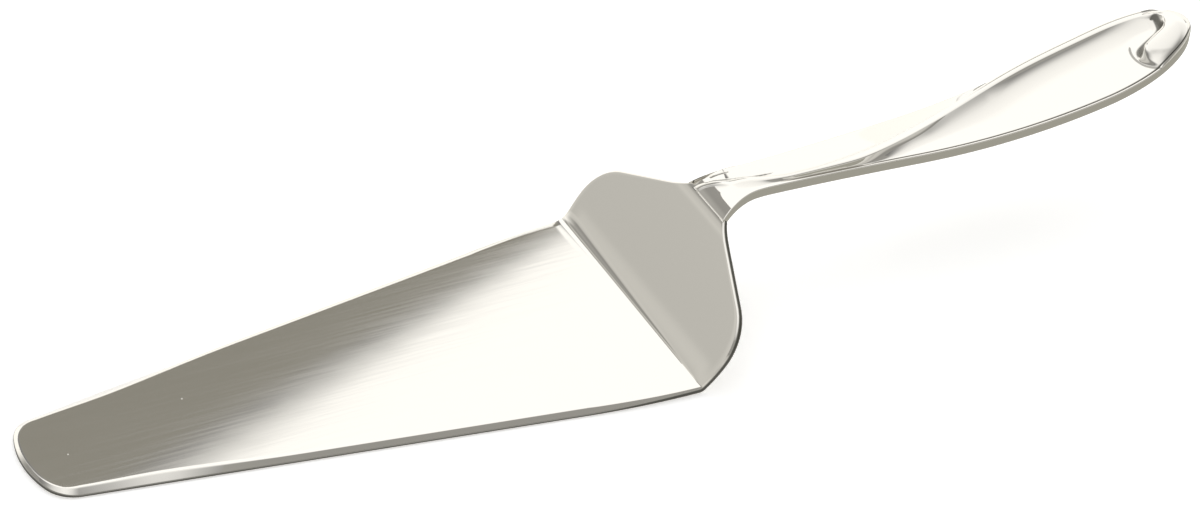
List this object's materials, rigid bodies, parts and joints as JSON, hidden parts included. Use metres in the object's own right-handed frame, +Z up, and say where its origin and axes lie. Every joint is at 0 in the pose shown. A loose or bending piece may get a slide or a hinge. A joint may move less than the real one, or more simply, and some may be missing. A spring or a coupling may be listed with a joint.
{
  "type": "cake server",
  "caption": "Cake server with a flat tapered blade, a raised hood and a forged handle with a folded ridge and a curled end.",
  "frame": {"origin": "underside of the flat blade, midway between its tip and the crease at the hood, on the centre line", "axes": "+X along the blade from its tip to the handle, +Y to the side away from the camera in the picture, +Z up, out of the top of the blade"},
  "size_m": [0.2627, 0.0614, 0.0397],
  "materials": {
    "blade": "satin polished stainless steel",
    "handle": "mirror polished stainless steel",
    "neck_weld": "ground weld"
  },
  "bodies": {
    "root": {"blade": "blade", "handle": "handle", "neck_weld": "neck_weld"}
  },
  "joints": []
}
